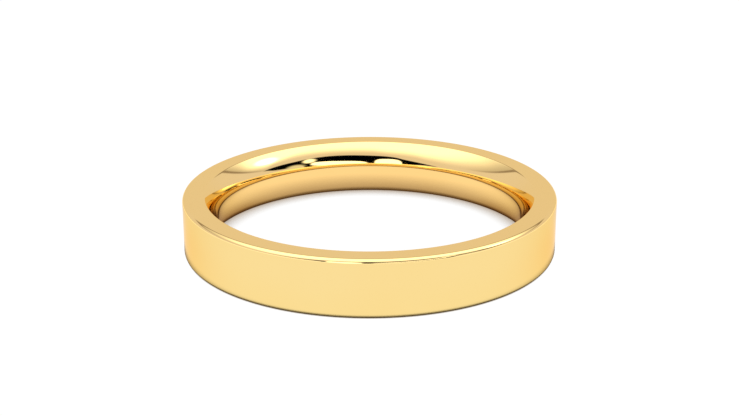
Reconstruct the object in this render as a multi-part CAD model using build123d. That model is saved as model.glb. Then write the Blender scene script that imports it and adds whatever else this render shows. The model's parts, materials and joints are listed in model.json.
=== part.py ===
from build123d import *
import os

# A plain wedding band of polished gold: flat outside, flat sides and a court (rounded) inside.
# It is one closed ring of metal with no joint, stone or setting, so it is one sub-part.
# Millimetres. The band lies on its side: +Z runs along the finger's axis, the side face that
# it lies on is z = 0, and the origin is the point where the finger's axis meets that face.

# ---- Driving dimensions ----
finger_diameter = 16.1      # ring size: the bore that the finger passes through
band_width = 3.0            # along the finger, from side face to side face
crest_wall = 1.80           # metal between the finger bore and the outer face
court_depth = 0.66          # how far the inside opens out from the crest to each side face
sizing_cut = 0.005          # taken off the crest when the bore is cut true to its ring size
outer_edge_radius = 0.19    # polished round on the two outer edges
inner_edge_radius = 0.04    # the two inner edges, only just broken
cutter_overrun = 1.0        # how far the sizing cutter runs past each side face

# ---- Derived sizes ----
bore_radius = finger_diameter / 2
outer_radius = bore_radius + crest_wall
mouth_radius = bore_radius + court_depth
crest_radius = bore_radius - sizing_cut
half_width = band_width / 2


def band_section():
    """The metal in one cut through the ring: straight outside and sides, one arc for the court."""
    lower_side = Line((mouth_radius, 0), (outer_radius, 0))
    outer_face = Line((outer_radius, 0), (outer_radius, band_width))
    upper_side = Line((outer_radius, band_width), (mouth_radius, band_width))
    court = ThreePointArc((mouth_radius, band_width), (crest_radius, half_width), (mouth_radius, 0))
    section = make_face([lower_side, outer_face, upper_side, court])
    by_radius = section.vertices().sort_by(Axis.X)
    section = fillet(by_radius[-2:], outer_edge_radius)
    by_radius = section.vertices().sort_by(Axis.X)
    return fillet(by_radius[:2], inner_edge_radius)


def sizing_cutter():
    """The cylinder that trues the crest, leaving a narrow land of the exact ring size."""
    return Pos(0, 0, half_width) * Cylinder(bore_radius, band_width + 2 * cutter_overrun)


def band():
    """The whole ring: the section turned once round the finger's axis, then cut to size."""
    blank = revolve(Plane.XZ * band_section(), Axis.Z)
    return blank - sizing_cutter()


os.makedirs("parts", exist_ok=True)
export_step(band(), "parts/band.step")
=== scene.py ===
"""A plain polished gold wedding band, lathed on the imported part's frame and shown in a light tent."""
import json
import math

import bmesh
import bpy
from bpy.props import FloatProperty, FloatVectorProperty, IntProperty, PointerProperty
from mathutils import Matrix, Vector


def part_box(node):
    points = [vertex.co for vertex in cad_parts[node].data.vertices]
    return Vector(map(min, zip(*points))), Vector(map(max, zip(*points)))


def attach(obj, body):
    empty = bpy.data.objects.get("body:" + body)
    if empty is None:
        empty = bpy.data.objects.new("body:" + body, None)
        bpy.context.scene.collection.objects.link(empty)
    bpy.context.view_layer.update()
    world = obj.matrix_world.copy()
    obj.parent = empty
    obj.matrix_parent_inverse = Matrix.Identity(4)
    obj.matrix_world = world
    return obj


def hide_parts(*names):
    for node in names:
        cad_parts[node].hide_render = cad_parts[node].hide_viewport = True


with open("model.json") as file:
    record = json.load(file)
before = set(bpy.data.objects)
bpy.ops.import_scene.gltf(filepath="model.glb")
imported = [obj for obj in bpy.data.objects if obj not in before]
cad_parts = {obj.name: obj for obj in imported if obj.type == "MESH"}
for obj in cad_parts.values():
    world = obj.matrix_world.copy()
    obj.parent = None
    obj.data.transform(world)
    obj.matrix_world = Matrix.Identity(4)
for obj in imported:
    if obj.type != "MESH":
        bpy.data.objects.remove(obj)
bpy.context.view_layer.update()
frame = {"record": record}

bl_info = {
    "name": "Wedding Band",
    "version": (1, 0, 0),
    "blender": (4, 5, 0),
    "location": "3D View > Sidebar > Wedding Band",
    "description": "Lathes a flat court wedding band in polished gold and sets it in a light tent",
    "category": "Add Mesh",
}

MM = 0.001
BAND_NODE = "band"
BAND_BODY = "root"

WELD = 1e-7                 # vertices nearer than this are one
ON_RING = 1e-6              # how near its ring's radius and height a vertex of that ring lies
HOLD = 0.015 * MM           # a holding point stands this far past each rounded edge
OUTER_ROUND_STEPS = 12
INNER_ROUND_STEPS = 4
CLOTH_GAP = 0.002 * MM      # the cloth lies this far under the band
CLOTH_SIDES = 96

TONE_PATCHES = 160.0        # patches of redder metal to a metre
HAZE_PATCHES = 330.0        # patches of buffing haze to a metre
WEAR_PATCHES = 420.0        # patches where hairline scratches show to a metre
POLISH_LINES = 6000.0       # polishing lines to a metre
REDDER = (1.0, 0.985, 0.955)
HAIRLINE = 0.012            # how thick a scratch is, as a share of its noise's range
LINE_ROUGHNESS = 0.006
SCRATCH_ROUGHNESS = 0.04

WHITE = (1.03, 1.03, 1.03)  # what the camera itself sees of the lit cloth and of the tent

# The frame gives the band's outside and its width, and the record gives the ring size.
band_low, band_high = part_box(BAND_NODE)
bore_mount = next(m for m in frame["record"]["mounts"] if m["name"] == "finger_bore")


# ---- Sizes and colours that a user would change ----

class BandSizes(bpy.types.PropertyGroup):
    """The band's own sizes, as a ring maker states them"""
    outer_radius: FloatProperty(
        name="Outer radius", description="From the finger's axis to the flat outer face",
        default=(band_high[0] - band_low[0]) / 2, min=0.0, precision=5, unit="LENGTH")
    width: FloatProperty(
        name="Width", description="Along the finger, from side face to side face",
        default=band_high[2] - band_low[2], min=0.0, precision=5, unit="LENGTH")
    bore_radius: FloatProperty(
        name="Bore radius", description="Half the ring size, measured at the crest of the court",
        default=bore_mount["dims"]["r_mm"] * MM, min=0.0, precision=5, unit="LENGTH")
    court_depth: FloatProperty(
        name="Court depth", description="How far the inside opens out from its crest to each side face",
        default=0.66 * MM, min=0.0, precision=5, unit="LENGTH")
    outer_round: FloatProperty(
        name="Outer edge round", description="Radius polished onto the two outer edges",
        default=0.19 * MM, min=0.0, precision=5, unit="LENGTH")
    inner_round: FloatProperty(
        name="Inner edge round", description="Radius broken onto the two inner edges",
        default=0.04 * MM, min=0.0, precision=5, unit="LENGTH")
    turns: IntProperty(
        name="Steps round the finger", description="How many steps the lathe takes in one turn",
        default=512, min=48, max=1024)
    court_steps: IntProperty(
        name="Steps across the court", description="How many steps the rounded inside has from side to side",
        default=56, min=8, max=128)


class GoldFinish(bpy.types.PropertyGroup):
    """Polished 18 carat yellow gold"""
    colour: FloatVectorProperty(
        name="Gold", description="Colour that the metal gives to what it reflects face on",
        subtype="COLOR", size=3, min=0.0, max=1.0, default=(0.965, 0.73, 0.31))
    edge_tint: FloatVectorProperty(
        name="Edge tint", description="How the reflection at a shallow angle is tinted",
        subtype="COLOR", size=3, min=0.0, max=1.0, default=(0.99, 0.88, 0.60))
    polish: FloatProperty(
        name="Polish", description="Roughness of the buffed surface",
        subtype="FACTOR", min=0.0, max=1.0, default=0.035)
    haze: FloatProperty(
        name="Buffing haze", description="How much the roughness rises where the buff left a haze",
        subtype="FACTOR", min=0.0, max=1.0, default=0.012)
    line_depth: FloatProperty(
        name="Polishing line depth", description="Depth of the fine lines left round the band",
        default=0.000015 * MM, min=0.0, precision=8, unit="LENGTH")
    scratch_depth: FloatProperty(
        name="Scratch depth", description="Depth of the hairline scratches of light wear",
        default=0.00004 * MM, min=0.0, precision=8, unit="LENGTH")


class Studio(bpy.types.PropertyGroup):
    """The cloth, and where the camera stands"""
    cloth_radius: FloatProperty(
        name="Cloth radius", description="How far the white cloth reaches from the band's axis",
        default=28 * MM, min=0.0, precision=4, unit="LENGTH")
    elevation: FloatProperty(
        name="Camera elevation", description="Angle of the camera above the table",
        subtype="ANGLE", default=math.radians(20.25))
    distance: FloatProperty(
        name="Camera distance", description="From the middle of the band to the lens",
        default=76.03 * MM, min=0.0, precision=4, unit="LENGTH")
    lens: FloatProperty(
        name="Lens", description="Focal length on a 36 mm wide sensor, in millimetres",
        default=69.436, min=1.0)
    tip_up: FloatProperty(
        name="Tip up", description="How far the camera looks above the middle of the band",
        subtype="ANGLE", default=math.radians(0.368))
    turn_right: FloatProperty(
        name="Turn right", description="How far the camera looks to the right of the band's axis",
        subtype="ANGLE", default=math.radians(0.0186))
    roll: FloatProperty(
        name="Roll", description="How far the camera is turned about its own view",
        subtype="ANGLE", default=math.radians(-0.0725))


# ---- The band ----

def court_arc(mesh, sizes):
    """One vertex swept along the court's arc. Returns the arc's vertices from the upper side down."""
    half = sizes.width / 2
    radius = (sizes.court_depth ** 2 + half ** 2) / (2 * sizes.court_depth)
    centre = Vector((sizes.bore_radius + radius, 0, half))
    start = Vector((sizes.bore_radius + sizes.court_depth, 0, sizes.width))
    sweep = 2 * math.asin(half / radius)
    first = mesh.verts.new(start)
    bmesh.ops.spin(mesh, geom=[first], cent=centre, axis=(0, 1, 0), angle=-sweep,
                   steps=sizes.court_steps, use_merge=False, use_duplicate=False)
    return sorted(mesh.verts, key=lambda v: -v.co.z)


def band_section(mesh, sizes):
    """The closed outline of the metal in one cut, with holding points just past each rounded edge."""
    arc = court_arc(mesh, sizes)
    outer, width = sizes.outer_radius, sizes.width
    past_outer = sizes.outer_round + HOLD
    past_inner = sizes.bore_radius + sizes.court_depth + sizes.inner_round + HOLD
    corners = [
        (past_inner, 0), (outer - past_outer, 0), (outer, 0), (outer, past_outer),
        (outer, width - past_outer), (outer, width), (outer - past_outer, width), (past_inner, width),
    ]
    loop = arc + [mesh.verts.new((r, 0, z)) for r, z in corners]
    for here, there in zip(loop, loop[1:] + loop[:1]):
        if not any(e.other_vert(here) is there for e in here.link_edges):
            mesh.edges.new((here, there))


def round_edges(mesh, radius_at_edge, offset, segments):
    """Bevels the two edge rings that lie at this radius on the side faces."""
    top = max(v.co.z for v in mesh.verts)

    def on_ring(v):
        return abs(v.co.xy.length - radius_at_edge) < ON_RING and min(v.co.z, top - v.co.z) < ON_RING

    rings = [e for e in mesh.edges if on_ring(e.verts[0]) and on_ring(e.verts[1])]
    bmesh.ops.bevel(mesh, geom=rings, offset=offset, offset_type="OFFSET", affect="EDGES",
                    segments=segments, profile=0.5, material=-1, clamp_overlap=True)


def lathe_band(sizes):
    """Turns the section once round the finger's axis and rounds its four edges."""
    mesh = bmesh.new()
    band_section(mesh, sizes)
    bmesh.ops.spin(mesh, geom=mesh.verts[:] + mesh.edges[:], cent=(0, 0, 0), axis=(0, 0, 1),
                   angle=2 * math.pi, steps=sizes.turns, use_merge=True, use_duplicate=False)
    bmesh.ops.remove_doubles(mesh, verts=mesh.verts, dist=WELD)
    round_edges(mesh, sizes.outer_radius, sizes.outer_round, OUTER_ROUND_STEPS)
    round_edges(mesh, sizes.bore_radius + sizes.court_depth, sizes.inner_round, INNER_ROUND_STEPS)
    bmesh.ops.recalc_face_normals(mesh, faces=mesh.faces)
    for face in mesh.faces:
        face.smooth = True
    data = bpy.data.meshes.new("polished_band")
    mesh.to_mesh(data)
    mesh.free()
    return data


# ---- Node helpers ----

def link_new(tree, kind, x, y, **settings):
    node = tree.nodes.new(kind)
    node.location = (x, y)
    for name, value in settings.items():
        setattr(node, name, value)
    return node


def maths(tree, operation, first, second=None, third=None):
    """A Math node fed with sockets or numbers. Returns its output socket."""
    node = tree.nodes.new("ShaderNodeMath")
    node.operation = operation
    for socket, value in zip(node.inputs, (first, second, third)):
        if value is None:
            continue
        if isinstance(value, (int, float)):
            socket.default_value = value
        else:
            tree.links.new(value, socket)
    return node.outputs[0]


def from_axis(tree, x, y):
    """How far a point is from the finger's axis."""
    squares = maths(tree, "ADD", maths(tree, "MULTIPLY", x, x), maths(tree, "MULTIPLY", y, y))
    return maths(tree, "SQRT", squares)


def smooth_step(tree, value, low, high):
    """0 below low, 1 above high, smooth between. Falls instead when low is above high."""
    node = tree.nodes.new("ShaderNodeMapRange")
    node.interpolation_type = "SMOOTHSTEP"
    rising = low <= high
    node.inputs["From Min"].default_value = min(low, high)
    node.inputs["From Max"].default_value = max(low, high)
    node.inputs["To Min"].default_value = 0.0 if rising else 1.0
    node.inputs["To Max"].default_value = 1.0 if rising else 0.0
    tree.links.new(value, node.inputs["Value"])
    return node.outputs["Result"]


def mixed(tree, factor, first, second):
    """Mixes two colours, each a socket or a tuple."""
    node = tree.nodes.new("ShaderNodeMix")
    node.data_type = "RGBA"
    a, b = node.inputs[6], node.inputs[7]
    for socket, value in ((node.inputs[0], factor), (a, first), (b, second)):
        if isinstance(value, bpy.types.NodeSocket):
            tree.links.new(value, socket)
        else:
            socket.default_value = value if isinstance(value, (int, float)) else (*value, 1.0)
    return node.outputs[2]


def outline(tree, side, points):
    """A line drawn round the tent through (side, height) points in degrees. Returns its height here."""
    lowest, span = -20.0, 110.0
    node = tree.nodes.new("ShaderNodeFloatCurve")
    curve = node.mapping.curves[0]
    spots = [((s + 180) / 360, (h - lowest) / span) for s, h in points]
    curve.points[0].location, curve.points[1].location = spots[0], spots[-1]
    for spot in spots[1:-1]:
        curve.points.new(*spot)
    for point in curve.points:
        point.handle_type = "AUTO_CLAMPED"
    node.mapping.update()
    tree.links.new(maths(tree, "MULTIPLY_ADD", side, 1 / 360, 0.5), node.inputs["Value"])
    return maths(tree, "MULTIPLY_ADD", node.outputs[0], span, lowest)


def card(tree, side, height, middle, half, corner, soft):
    """A white card seen from the band, in degrees. A high corner power gives square corners."""
    across, up = [maths(tree, "DIVIDE", maths(tree, "ABSOLUTE", maths(tree, "SUBTRACT", here, centre)), span)
                  for here, centre, span in zip((side, height), middle, half)]
    reach = maths(tree, "POWER", maths(tree, "ADD", maths(tree, "POWER", across, corner),
                                       maths(tree, "POWER", up, corner)), 1 / corner)
    return smooth_step(tree, reach, 1 + soft, 1 - soft)


def open_sky(tree, distance):
    """How much of the space within this distance of the surface is free of the band, from 0 to 1."""
    node = tree.nodes.new("ShaderNodeAmbientOcclusion")
    node.samples = 8
    node.inputs["Distance"].default_value = distance
    return node.outputs["AO"]


def noise(tree, vector, scale, detail=2.0, w=None):
    """A Noise texture on these coordinates, in four dimensions where a fourth is given."""
    node = tree.nodes.new("ShaderNodeTexNoise")
    node.noise_dimensions = "3D" if w is None else "4D"
    node.inputs["Scale"].default_value = scale
    node.inputs["Detail"].default_value = detail
    tree.links.new(vector, node.inputs["Vector"])
    if w is not None:
        tree.links.new(w, node.inputs["W"])
    return node.outputs["Fac"]


# ---- Materials ----

def round_the_band(tree, spot):
    """Coordinates for marks that run round the band: slow round the finger, quick along and across it."""
    split = link_new(tree, "ShaderNodeSeparateXYZ", -1400, 0)
    tree.links.new(spot, split.inputs[0])
    x, y, z = split.outputs
    radius = from_axis(tree, x, y)
    line = link_new(tree, "ShaderNodeCombineXYZ", -1000, 0)
    tree.links.new(maths(tree, "DIVIDE", x, radius), line.inputs[0])
    tree.links.new(maths(tree, "DIVIDE", y, radius), line.inputs[1])
    tree.links.new(maths(tree, "MULTIPLY", radius, POLISH_LINES), line.inputs[2])
    return line.outputs[0], maths(tree, "MULTIPLY", z, POLISH_LINES)


def hairlines(tree, spot, turn, stretch):
    """Sparse straight scratches in one direction, 1 on a scratch."""
    turned = link_new(tree, "ShaderNodeMapping", -1200, -600)
    turned.inputs["Rotation"].default_value = turn
    turned.inputs["Scale"].default_value = stretch
    tree.links.new(spot, turned.inputs["Vector"])
    field = noise(tree, turned.outputs[0], 1.0, 0.0)
    off_line = maths(tree, "ABSOLUTE", maths(tree, "SUBTRACT", field, 0.5))
    here = smooth_step(tree, noise(tree, spot, WEAR_PATCHES, 1.0), 0.56, 0.64)
    return maths(tree, "MULTIPLY", smooth_step(tree, off_line, HAIRLINE, 0.0), here)


def polished_gold(finish):
    """Buffed gold: a clear mirror with fine polishing lines, faint haze and a few hairline scratches."""
    material = bpy.data.materials.new("polished_gold")
    material.use_nodes = True
    tree = material.node_tree
    tree.nodes.clear()
    out = link_new(tree, "ShaderNodeOutputMaterial", 900, 0)
    gold = link_new(tree, "ShaderNodeBsdfPrincipled", 600, 0)
    gold.inputs["Metallic"].default_value = 1.0
    gold.inputs["Specular Tint"].default_value = (*finish.edge_tint, 1.0)
    where = link_new(tree, "ShaderNodeTexCoord", -1700, 0)
    spot = where.outputs["Object"]

    # colour: the alloy is a touch redder in some places than in others
    tone = smooth_step(tree, noise(tree, spot, TONE_PATCHES, 3.0), 0.3, 0.7)
    redder = tuple(c * t for c, t in zip(finish.colour, REDDER))
    tree.links.new(mixed(tree, tone, finish.colour, redder), gold.inputs["Base Color"])

    # fine lines that the polishing wheel left round the band
    line, along = round_the_band(tree, spot)
    lines = noise(tree, line, 1.0, 3.0, along)
    # hairline scratches of light wear, in three directions
    first = hairlines(tree, spot, (0.3, 0.5, 0.9), (150, 2600, 150))
    second = hairlines(tree, spot, (1.1, -0.4, 0.2), (120, 120, 2200))
    third = hairlines(tree, spot, (-0.7, 0.9, -0.5), (2400, 130, 130))
    scratches = maths(tree, "MAXIMUM", maths(tree, "MAXIMUM", first, second), third)

    # roughness: a slow buffing haze, the lines and the scratches
    haze = smooth_step(tree, noise(tree, spot, HAZE_PATCHES, 4.0), 0.35, 0.75)
    rough = maths(tree, "MULTIPLY_ADD", haze, finish.haze, finish.polish)
    rough = maths(tree, "MULTIPLY_ADD", lines, LINE_ROUGHNESS, rough)
    rough = maths(tree, "MULTIPLY_ADD", scratches, SCRATCH_ROUGHNESS, rough)
    tree.links.new(rough, gold.inputs["Roughness"])

    # relief: the lines, then the scratches cut into them
    ridges = link_new(tree, "ShaderNodeBump", 200, -400)
    ridges.inputs["Strength"].default_value = 1.0
    ridges.inputs["Distance"].default_value = finish.line_depth
    tree.links.new(lines, ridges.inputs["Height"])
    cuts = link_new(tree, "ShaderNodeBump", 400, -400, invert=True)
    cuts.inputs["Strength"].default_value = 1.0
    cuts.inputs["Distance"].default_value = finish.scratch_depth
    tree.links.new(scratches, cuts.inputs["Height"])
    tree.links.new(ridges.outputs[0], cuts.inputs["Normal"])
    tree.links.new(cuts.outputs[0], gold.inputs["Normal"])
    tree.links.new(gold.outputs[0], out.inputs["Surface"])
    return material


def tent_floor(sizes):
    """Cloth that glows by itself: white to the camera but for painted soft shade inside the band and under
    its edge.
    The gold mirrors a second set of tones, painted light and shade, which the camera never sees directly."""
    material = bpy.data.materials.new("tent_floor")
    material.use_nodes = True
    tree = material.node_tree
    tree.nodes.clear()
    out = link_new(tree, "ShaderNodeOutputMaterial", 1200, 0)
    glow = link_new(tree, "ShaderNodeEmission", 1000, 0)
    where = link_new(tree, "ShaderNodeTexCoord", -1200, 0)
    split = link_new(tree, "ShaderNodeSeparateXYZ", -1000, 0)
    tree.links.new(where.outputs["Object"], split.inputs[0])
    x, y, z = split.outputs
    radius = from_axis(tree, x, y)
    under_metal = (sizes.bore_radius + sizes.outer_radius) / 2
    inside = smooth_step(tree, radius, under_metal + 0.1 * MM, under_metal - 0.1 * MM)

    # as the camera sees it: white, with soft warm shade inside the band and a hair of shade under its edge
    inner_light = smooth_step(tree, open_sky(tree, 1.35 * MM), -0.05, 0.78)
    outer_light = smooth_step(tree, open_sky(tree, 0.07 * MM), 0.0, 0.7)
    seen = mixed(tree, inside, mixed(tree, outer_light, (0.4, 0.32, 0.22), WHITE),
                 mixed(tree, inner_light, (0.40, 0.30, 0.20), WHITE))

    # as the metal sees it: painted light and shade, warmed as if by light off the gold close by and at the
    # sides, dimmer behind, bright further out
    front = smooth_step(tree, y, 1 * MM, -9 * MM)
    beside = mixed(tree, front, (1.0, 0.86, 0.76), (1.0, 0.99, 0.95))
    beyond = mixed(tree, front, (0.98, 0.94, 0.92), (1.0, 1.0, 1.0))
    off_band = smooth_step(tree, radius, sizes.outer_radius, sizes.outer_radius + 5 * MM)
    painted_mirror_tones = mixed(tree, off_band, beside, beyond)
    painted_mirror_tones = mixed(tree, smooth_step(tree, y, 1 * MM, 8 * MM), painted_mirror_tones, (0.9, 0.78, 0.66))
    painted_mirror_tones = mixed(tree, smooth_step(tree, radius, 17 * MM, 22 * MM), painted_mirror_tones, (1.5, 1.5, 1.55))

    # painted shade and warm bounce light inside the band: the cloth darkens and warms towards the metal,
    # most of all at the two sides
    to_side = smooth_step(tree, maths(tree, "ABSOLUTE", x), 5 * MM, 8 * MM)
    deep = mixed(tree, to_side, (0.42, 0.32, 0.28), (0.20, 0.09, 0.03))
    painted_inner_shade = mixed(tree, smooth_step(tree, open_sky(tree, 2.6 * MM), 0.1, 1.0), deep, (1.07, 0.94, 0.85))
    painted_mirror_tones = mixed(tree, inside, painted_mirror_tones, painted_inner_shade)

    # painted shade in the gap where the metal meets the cloth, wider outside the band than inside
    inner_contact_shade = smooth_step(tree, open_sky(tree, 0.3 * MM), 0.1, 0.75)
    outer_contact_shade = smooth_step(tree, open_sky(tree, 0.6 * MM), 0.35, 1.0)
    contact_shade = maths(tree, "ADD", maths(tree, "MULTIPLY", inner_contact_shade, inside),
                  maths(tree, "MULTIPLY", outer_contact_shade, maths(tree, "SUBTRACT", 1.0, inside)))
    contact_shade_tone = mixed(tree, inside, (0.02, 0.012, 0.005), (0.05, 0.018, 0.002))
    mirrored = mixed(tree, contact_shade, contact_shade_tone, painted_mirror_tones)

    rays = link_new(tree, "ShaderNodeLightPath", 600, 300)
    shade = mixed(tree, rays.outputs["Is Camera Ray"], mirrored, seen)
    tree.links.new(shade, glow.inputs["Color"])
    tree.links.new(glow.outputs[0], out.inputs["Surface"])
    material.cycles.emission_sampling = "NONE"
    return material


# ---- Stage ----

def light_tent(world):
    """A white tent: pale walls, a dark seam, a bright roof, a key light, and a dark opening with cards."""
    world.use_nodes = True
    tree = world.node_tree
    tree.nodes.clear()
    out = link_new(tree, "ShaderNodeOutputWorld", 1400, 0)
    background = link_new(tree, "ShaderNodeBackground", 1200, 0)
    where = link_new(tree, "ShaderNodeTexCoord", -1400, 0)
    split = link_new(tree, "ShaderNodeSeparateXYZ", -1200, 0)
    tree.links.new(where.outputs["Generated"], split.inputs[0])
    x, y, z = split.outputs
    degrees = 180 / math.pi
    height = maths(tree, "MULTIPLY", maths(tree, "ARCSINE", z), degrees)
    side = maths(tree, "MULTIPLY", maths(tree, "ARCTAN2", x, maths(tree, "MULTIPLY", y, -1.0)), degrees)
    away = maths(tree, "ABSOLUTE", side)

    # pale walls, and above their seam the roof, which brightens with height
    wall, under_roof, roof = (0.84, 0.785, 0.86), (0.64, 0.60, 0.62), (1.9, 1.9, 1.95)
    seam_tone, key_tone, card_tone = (0.34, 0.28, 0.27), (4.0, 4.0, 4.0), (2.2, 2.2, 2.3)
    lamp_tone, patch_tone = (2.0, 2.0, 2.0), (0.85, 0.85, 0.8)
    seam_line = outline(tree, side, [
        (-180, 28), (-150, 27.5), (-130, 26), (-93, 15), (-70, 11), (0, 8), (70, 11), (92, 15), (129, 25),
        (150, 27), (180, 28)])
    roof_line = outline(tree, side, [
        (-180, 28), (-150, 27.5), (-130, 26), (-93, 14), (-70, 12), (-50, 16), (-35, 24), (-15, 30), (0, 35),
        (30, 36), (60, 32), (80, 22), (92, 15), (129, 25), (150, 27), (180, 28)])
    roof_fade = outline(tree, side, [
        (-180, 48), (-135, 36), (-93, 40), (-60, 34), (-30, 28), (0, 26), (60, 26), (92, 18), (130, 26),
        (180, 48)])
    above = maths(tree, "SUBTRACT", height, roof_line)
    low = mixed(tree, smooth_step(tree, away, 70, 110), wall, under_roof)
    upper = mixed(tree, smooth_step(tree, maths(tree, "DIVIDE", above, roof_fade), 0, 1), low, roof)
    over_seam = smooth_step(tree, maths(tree, "SUBTRACT", height, seam_line), -0.5, 0.5)
    colour = mixed(tree, over_seam, wall, upper)
    # the dark seam itself: thin at the sides, a broad shade behind the band
    middle = outline(tree, side, [
        (-180, 37), (-155, 32), (-130, 26.5), (-93, 15), (-70, 11), (0, 8), (70, 11), (92, 15), (129, 25.5),
        (155, 32), (180, 37)])
    reach = outline(tree, side, [
        (-180, 11), (-155, 6), (-130, 2.4), (0, 2.4), (130, 2.4), (155, 6), (180, 11)])
    off_seam = maths(tree, "DIVIDE", maths(tree, "ABSOLUTE", maths(tree, "SUBTRACT", height, middle)), reach)
    seam = maths(tree, "MULTIPLY", smooth_step(tree, off_seam, 1.0, 0.2), smooth_step(tree, away, 75, 125))
    colour = mixed(tree, seam, colour, seam_tone)
    # the key light on the right
    key = card(tree, side, height, (93, 35), (11, 7), 2.0, 0.4)
    colour = mixed(tree, key, colour, key_tone)
    # the dark opening in front
    top = outline(tree, side, [
        (-180, -15), (-66, -12), (-57, 4), (-42, 11), (-28, 18.5), (-17, 26), (0, 29.5), (28, 32), (48, 29),
        (62, 24), (75, 20), (87, 14.5), (95, 4), (104, -15), (180, -15)])
    bottom = outline(tree, side, [
        (-180, 5), (-62, 5), (-45, 5.5), (-32, 2), (-24, -15), (0, -20), (42, -15), (50, -2), (56, 11),
        (66, 8), (76, 9), (90, 13), (104, 8), (180, 5)])
    opening = maths(tree, "MULTIPLY", smooth_step(tree, maths(tree, "SUBTRACT", top, height), -0.8, 1.2),
                    smooth_step(tree, maths(tree, "SUBTRACT", height, bottom), -0.8, 1.2))
    colour = mixed(tree, opening, colour, (0.0, 0.0, 0.0))
    # the white cards and small lamps that stand in it
    left = card(tree, side, height, (-14.5, 4), (10.5, 14), 3.0, 0.08)
    leaning = maths(tree, "MULTIPLY_ADD", side, -0.17, height)
    right = card(tree, side, leaning, (24, 3.5), (22, 6), 3.5, 0.08)
    colour = mixed(tree, maths(tree, "MAXIMUM", left, right), colour, card_tone)
    lamp = card(tree, side, height, (48.5, 21.5), (5, 5.5), 2.0, 0.5)
    colour = mixed(tree, lamp, colour, lamp_tone)
    pale_patch = card(tree, side, height, (59, 8.5), (7, 5.5), 2.0, 0.5)
    colour = mixed(tree, pale_patch, colour, patch_tone)
    # past the cloth the camera itself sees plain white
    rays = link_new(tree, "ShaderNodeLightPath", 900, 300)
    colour = mixed(tree, rays.outputs["Is Camera Ray"], colour, WHITE)
    tree.links.new(colour, background.inputs["Color"])
    tree.links.new(background.outputs[0], out.inputs["Surface"])


def place_camera(studio, middle):
    """Stands the camera in front of the band, looking down at it."""
    rise, reach = math.sin(studio.elevation), math.cos(studio.elevation)
    place = middle + studio.distance * Vector((0, -reach, rise))
    dip = studio.elevation - studio.tip_up
    view = Vector((math.sin(studio.turn_right) * math.cos(dip),
                   math.cos(studio.turn_right) * math.cos(dip), -math.sin(dip)))
    right = view.cross(Vector((0, 0, 1))).normalized()
    up = right.cross(view)
    turn = Matrix((right, up, -view)).transposed() @ Matrix.Rotation(studio.roll, 3, "Z")
    lens = bpy.data.cameras.new("camera")
    lens.sensor_width = 36.0
    lens.lens = studio.lens
    lens.clip_start = MM
    camera = bpy.data.objects.new("camera", lens)
    camera.matrix_world = Matrix.Translation(place) @ turn.to_4x4()
    bpy.context.scene.collection.objects.link(camera)
    bpy.context.scene.camera = camera


# ---- Operators ----

class MakeBand(bpy.types.Operator):
    """Lathe the polished band that stands for the CAD ring"""
    bl_idname = "wedding_band.make_band"
    bl_label = "Make the Band"

    def execute(self, context):
        band = bpy.data.objects.new("polished_band", lathe_band(context.scene.band_sizes))
        band.data.materials.append(polished_gold(context.scene.gold_finish))
        context.scene.collection.objects.link(band)
        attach(band, BAND_BODY)
        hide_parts(BAND_NODE)
        return {"FINISHED"}


class SetStage(bpy.types.Operator):
    """Lay the white cloth, light the tent and stand the camera"""
    bl_idname = "wedding_band.set_stage"
    bl_label = "Set the Stage"

    def execute(self, context):
        scene = context.scene
        mesh = bmesh.new()
        bmesh.ops.create_circle(mesh, cap_ends=True, radius=scene.studio.cloth_radius, segments=CLOTH_SIDES,
                                matrix=Matrix.Translation((0, 0, band_low[2] - CLOTH_GAP)))
        data = bpy.data.meshes.new("tent_floor")
        mesh.to_mesh(data)
        mesh.free()
        floor = bpy.data.objects.new("tent_floor", data)
        floor.data.materials.append(tent_floor(scene.band_sizes))
        scene.collection.objects.link(floor)
        scene.world = bpy.data.worlds.new("light_tent")
        light_tent(scene.world)
        scene.view_settings.view_transform = "Standard"
        place_camera(scene.studio, Vector((0, 0, (band_low[2] + band_high[2]) / 2)))
        return {"FINISHED"}


class BandPanel(bpy.types.Panel):
    """The band's sizes, finish and stage"""
    bl_idname = "VIEW3D_PT_wedding_band"
    bl_label = "Wedding Band"
    bl_space_type = "VIEW_3D"
    bl_region_type = "UI"
    bl_category = "Wedding Band"

    def draw(self, context):
        scene = context.scene
        for group in (scene.band_sizes, scene.gold_finish, scene.studio):
            box = self.layout.box()
            for name in group.__annotations__:
                box.prop(group, name)
        self.layout.operator(MakeBand.bl_idname)
        self.layout.operator(SetStage.bl_idname)


CLASSES = (BandSizes, GoldFinish, Studio, MakeBand, SetStage, BandPanel)


def register():
    for cls in CLASSES:
        bpy.utils.register_class(cls)
    bpy.types.Scene.band_sizes = PointerProperty(type=BandSizes)
    bpy.types.Scene.gold_finish = PointerProperty(type=GoldFinish)
    bpy.types.Scene.studio = PointerProperty(type=Studio)


def unregister():
    del bpy.types.Scene.studio
    del bpy.types.Scene.gold_finish
    del bpy.types.Scene.band_sizes
    for cls in reversed(CLASSES):
        bpy.utils.unregister_class(cls)


def main():
    register()
    bpy.ops.wedding_band.set_stage()
    bpy.ops.wedding_band.make_band()


if __name__ == "__main__":
    main()
